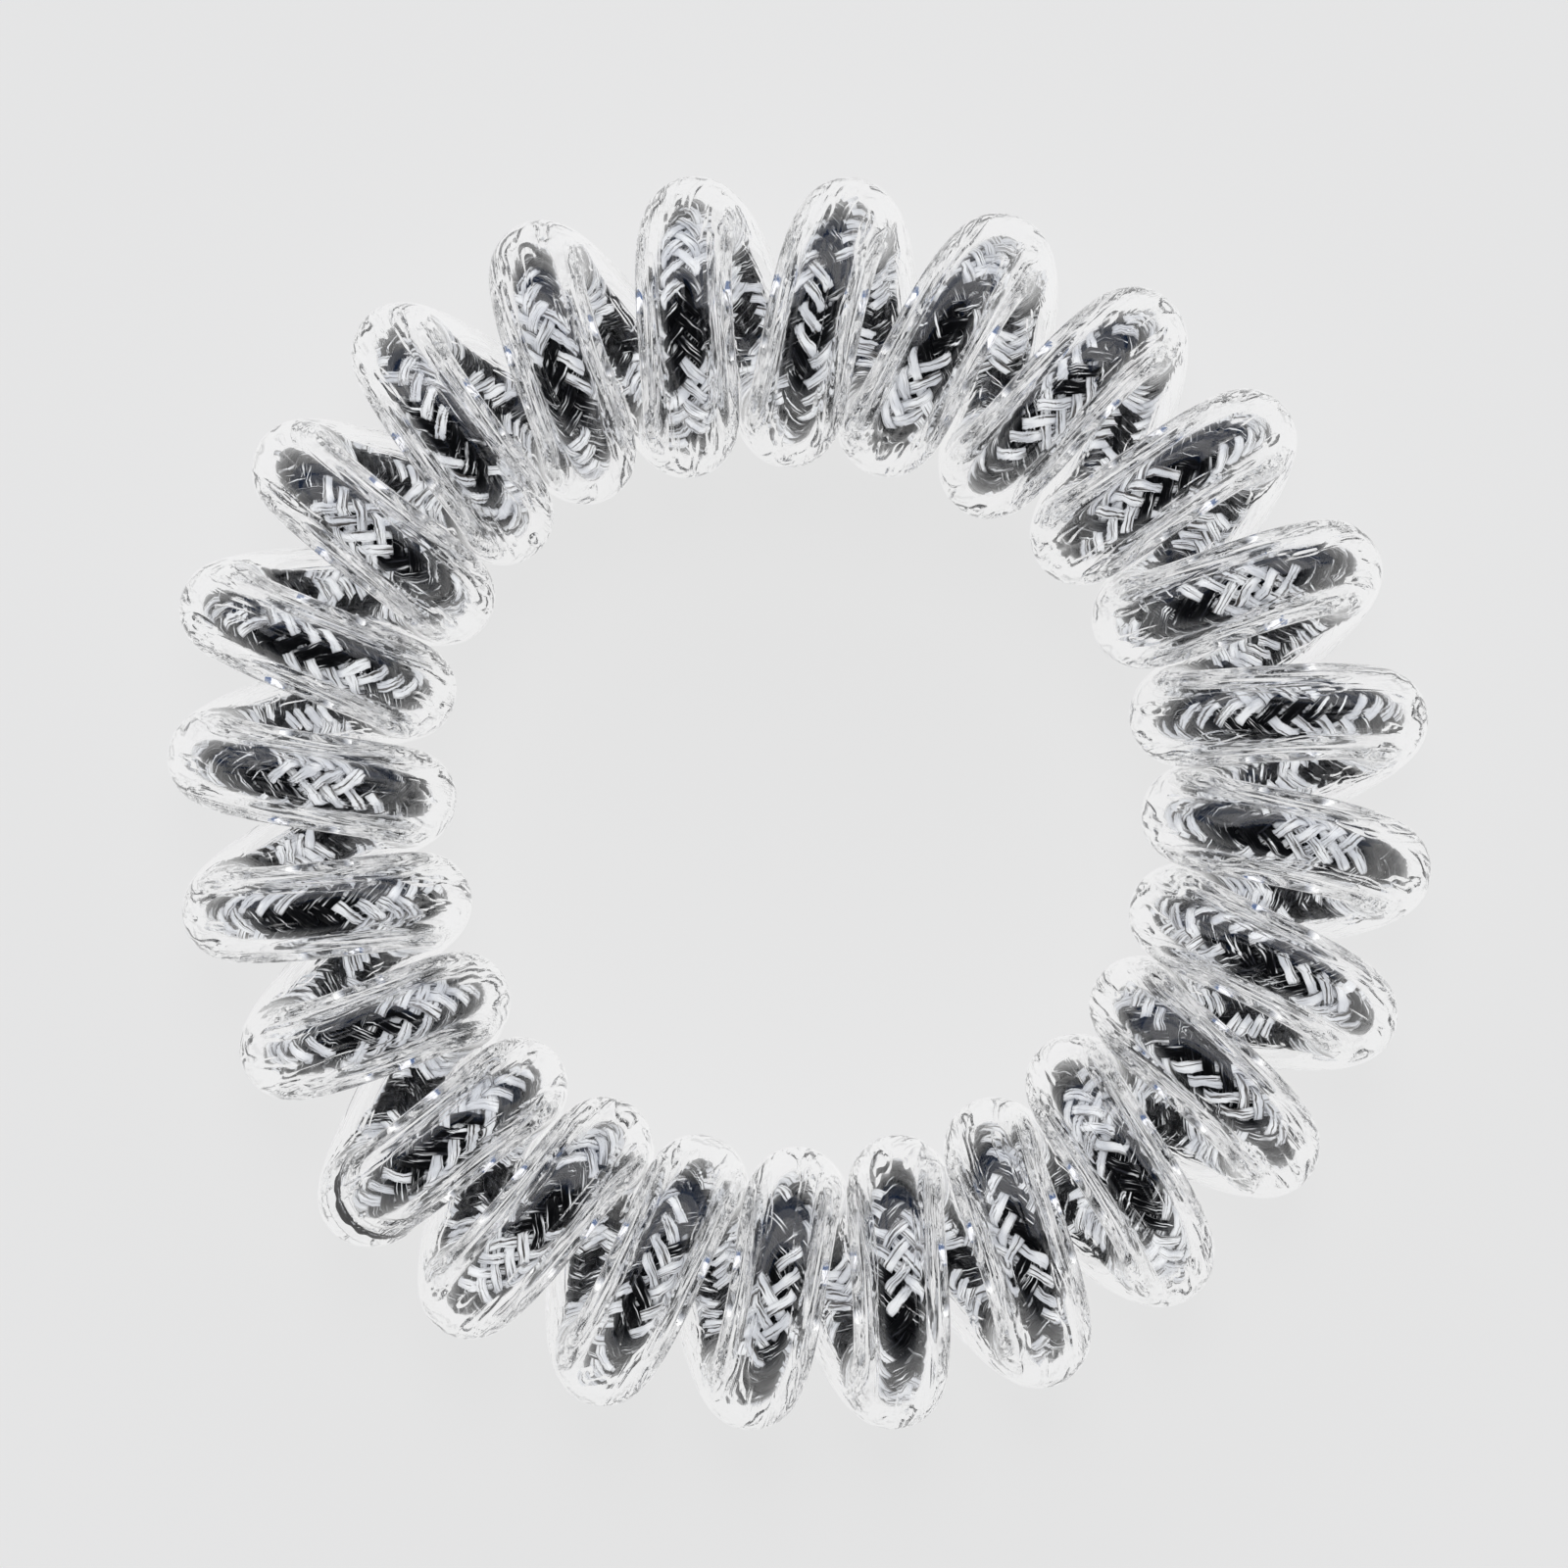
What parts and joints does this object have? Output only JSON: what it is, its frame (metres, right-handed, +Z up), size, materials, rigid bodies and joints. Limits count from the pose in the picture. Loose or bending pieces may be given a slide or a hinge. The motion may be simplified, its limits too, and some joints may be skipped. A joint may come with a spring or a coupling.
{
  "type": "spiral hair tie",
  "caption": "Clear strand with a braided cord inside, coiled round a ring into a closed spiral band that holds hair or goes round a wrist.",
  "frame": {"origin": "on the surface that the tie lies on, under the middle of the box round it", "axes": "+Z up through the hole of the ring, +Y towards the twelve o'clock side, from which the turns are counted clockwise as seen from above"},
  "size_m": [0.0522, 0.0518, 0.013],
  "materials": {
    "clear_polyurethane": "clear extruded strand, glossy with fine lengthwise draw lines",
    "braided_yarn": "black and silver-white shiny yarn in a herringbone braid"
  },
  "bodies": {
    "root": {"clear_coil": "clear_polyurethane", "braided_core": "braided_yarn"}
  },
  "joints": []
}
